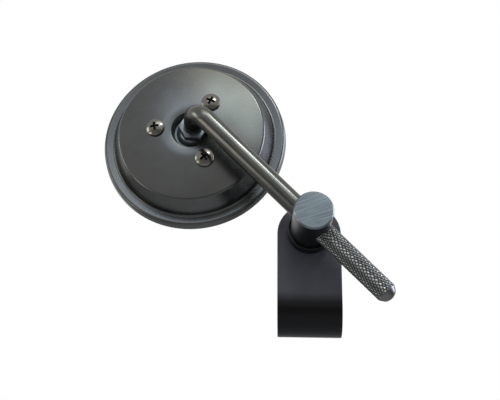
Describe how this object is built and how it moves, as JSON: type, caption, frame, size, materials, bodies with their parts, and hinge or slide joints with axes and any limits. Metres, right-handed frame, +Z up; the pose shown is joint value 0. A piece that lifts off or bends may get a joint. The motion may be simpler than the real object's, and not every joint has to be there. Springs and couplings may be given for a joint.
{
  "type": "motorcycle mirror",
  "caption": "Round clamp-on motorcycle mirror: folded handlebar strap, swivel post with knurled locking handle, bent stem and ball-jointed head with convex glass.",
  "frame": {"origin": "on the handlebar's axis, in the middle of the clamp strap's width", "axes": "+X along the handlebar, +Z up, the swivel post points to -Y and the glass faces +Y"},
  "size_m": [0.1431, 0.0701, 0.1517],
  "materials": {
    "black_strap": "satin black coat",
    "zinc_steel": "zinc plate",
    "nylon": "moulded",
    "post_steel": "brushed end, dark turned side",
    "stem_steel": "satin black nickel",
    "knurled_steel": "diamond knurl, black nickel",
    "screw_steel": "nickel plate",
    "shell_paint": "satin gunmetal",
    "tape": "foam tape",
    "mirror_glass": "silvered back"
  },
  "bodies": {
    "clamp": {"clamp_bracket": "black_strap", "spacer_tube": "zinc_steel", "pivot_collar": "black_strap", "friction_washer": "nylon", "flat_washer": "zinc_steel", "spring_washer": "zinc_steel"},
    "post": {"pivot_post": "post_steel", "clamp_nut": "zinc_steel"},
    "stem": {"stem": "stem_steel", "stem_lock_nut": "zinc_steel"},
    "handle": {"lock_handle": "knurled_steel"},
    "ball": {"pivot_ball": "zinc_steel"},
    "seats": {"upper_ball_seat": "zinc_steel", "lower_ball_seat": "nylon"},
    "head": {"mirror_shell": "shell_paint", "socket_plate": "zinc_steel", "plate_screws": "screw_steel", "plate_nuts": "zinc_steel", "glass_tape": "tape", "mirror_glass": "mirror_glass"}
  },
  "joints": [
    {"name": "post_swivel", "type": "hinge", "parent": "clamp", "child": "post", "pos_m": [0, 0, 0.0346], "axis": [0, -1, 0], "range_deg": [-114, 25]},
    {"name": "stem_roll", "type": "hinge", "parent": "post", "child": "stem", "pos_m": [0, -0.0304, 0.0346], "axis": [0.6997, 0, -0.7145], "range_deg": [-90, 90]},
    {"name": "handle_turn", "type": "hinge", "parent": "stem", "child": "handle", "pos_m": [0, -0.0304, 0.0346], "axis": [0.6997, 0, -0.7145], "range_deg": [0, 180]},
    {"name": "ball_swing", "type": "hinge", "parent": "stem", "child": "ball", "pos_m": [-0.05906, -0.00488, 0.09056], "axis": [0.0846, -0.993, 0.0828], "continuous": true},
    {"name": "mirror_tilt", "type": "hinge", "parent": "ball", "child": "seats", "pos_m": [-0.05906, -0.00488, 0.09056], "axis": [0.3981, -0.0425, -0.9164], "range_deg": [-26.4, 2.6]},
    {"name": "mirror_spin", "type": "hinge", "parent": "seats", "child": "head", "pos_m": [-0.05906, -0.00488, 0.09056], "axis": [-0.1063, -0.9943, 0], "continuous": true}
  ]
}
